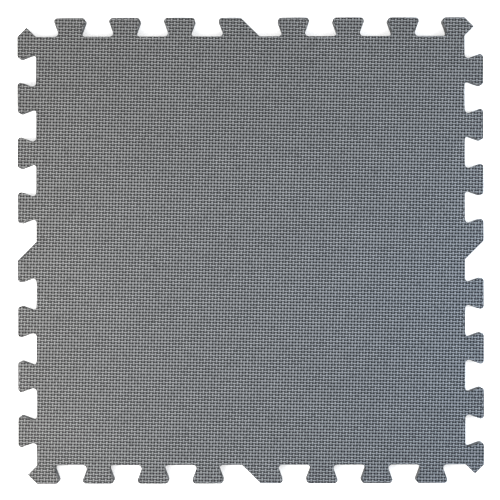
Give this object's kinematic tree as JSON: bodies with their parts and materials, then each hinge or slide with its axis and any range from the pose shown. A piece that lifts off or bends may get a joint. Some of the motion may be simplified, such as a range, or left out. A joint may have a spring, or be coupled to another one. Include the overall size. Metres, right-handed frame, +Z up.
{
  "type": "blocking mat",
  "caption": "Square interlocking foam mat with dovetail tabs on all four edges and a fine woven relief on top, for pinning out and drying knitted pieces.",
  "frame": {"origin": "middle of the underside, which is also the middle of the square", "axes": "+Z up out of the embossed working face; X and Y along the sides; the outline repeats at each quarter turn"},
  "size_m": [0.3174, 0.3174, 0.0127],
  "materials": {
    "woven_skin": "matte closed-cell EVA foam skin, embossed with a fine plain weave",
    "closed_cell_foam": "matte die-cut EVA foam",
    "smooth_skin": "matte EVA foam skin, faintly grained"
  },
  "bodies": {
    "root": {"textured_top_skin": "woven_skin", "foam_core": "closed_cell_foam", "bottom_skin": "smooth_skin"}
  },
  "joints": []
}
